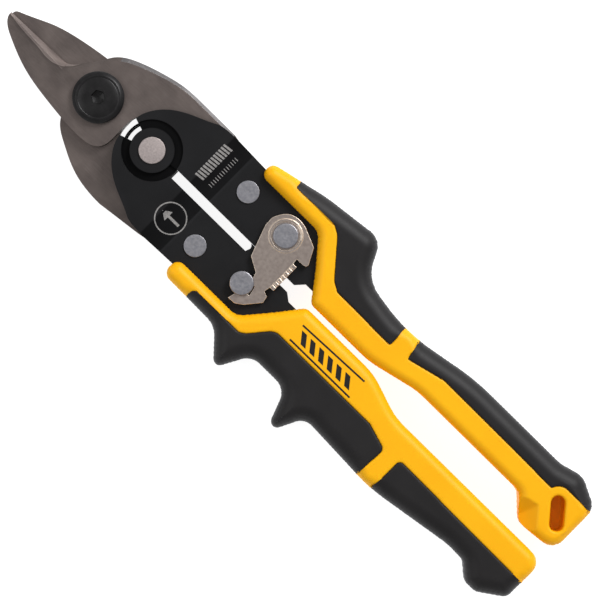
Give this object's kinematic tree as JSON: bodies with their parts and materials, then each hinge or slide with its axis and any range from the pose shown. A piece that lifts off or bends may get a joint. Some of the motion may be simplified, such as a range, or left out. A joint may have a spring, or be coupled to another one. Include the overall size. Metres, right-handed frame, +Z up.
{
  "type": "aviation snips",
  "caption": "Compound-action aviation snips with a short deep jaw, riveted steel arms, padded grips and a swinging latch, shown shut.",
  "frame": {"origin": "on the table, under the middle of the box of the closed tool as it lies on its back", "axes": "+X from the jaw to the handle ends, +Y towards the upper handle with the latch, +Z up out of the front face"},
  "size_m": [0.2488, 0.0674, 0.0184],
  "materials": {
    "ground_blade_steel": "ground and tempered, warm grey",
    "black_oxide_bolt": "black oxide, satin",
    "black_coated_steel": "black coated stamping, satin",
    "rivet_steel": "turned face",
    "zinc_fastener": "zinc plated",
    "spring_steel": "drawn wire",
    "nickel_latch": "nickel plated stamping",
    "grip_core_plastic": "moulded, fine matt",
    "grip_pad_rubber": "soft overmould, matt"
  },
  "bodies": {
    "lower_handle": {"lower_arm_front_plate": "black_coated_steel", "lower_arm_back_plate": "black_coated_steel", "lower_arm_spacer": "black_coated_steel", "lower_tang_rivet": "rivet_steel", "latch_stud": "rivet_steel", "centre_rivet": "rivet_steel", "centre_bush": "zinc_fastener", "opening_spring": "spring_steel", "lower_grip": "grip_core_plastic", "lower_finger_pad": "grip_pad_rubber", "lower_rear_pad": "grip_pad_rubber"},
    "upper_handle": {"upper_arm_front_plate": "black_coated_steel", "upper_arm_back_plate": "black_coated_steel", "upper_arm_spacer": "black_coated_steel", "upper_tang_rivet": "rivet_steel", "latch_washer": "zinc_fastener", "latch_rivet": "rivet_steel", "upper_grip": "grip_core_plastic", "upper_thumb_pad": "grip_pad_rubber", "upper_rear_pad": "grip_pad_rubber"},
    "back_blade": {"back_blade": "ground_blade_steel"},
    "front_blade": {"front_blade": "ground_blade_steel", "pivot_bolt": "black_oxide_bolt", "pivot_washer": "zinc_fastener", "pivot_nut": "zinc_fastener"},
    "latch": {"latch_plate": "nickel_latch"}
  },
  "joints": [
    {"name": "handle_hinge", "type": "hinge", "parent": "lower_handle", "child": "upper_handle", "pos_m": [-0.0598, 0.0029, 0.0091], "axis": [0, 0, 1], "range_deg": [0, 36], "deforming": ["opening_spring"]},
    {"name": "back_blade_pivot", "type": "hinge", "parent": "lower_handle", "child": "back_blade", "pos_m": [-0.0281, -0.0094, 0.0091], "axis": [0, 0, 1], "range_deg": [0, 8.82]},
    {"name": "front_blade_pivot", "type": "hinge", "parent": "back_blade", "child": "front_blade", "pos_m": [-0.0844, 0.0029, 0.0091], "axis": [0, 0, 1], "range_deg": [0, 19.87]},
    {"name": "latch_swing", "type": "hinge", "parent": "upper_handle", "child": "latch", "pos_m": [-0.0093, 0.0136, 0.01425], "axis": [0, 0, 1], "range_deg": [-7, 12]}
  ],
  "couplings": [
    {"joint": "back_blade_pivot", "follows": "handle_hinge", "ratio": 0.231},
    {"joint": "front_blade_pivot", "follows": "handle_hinge", "ratio": 0.538}
  ]
}
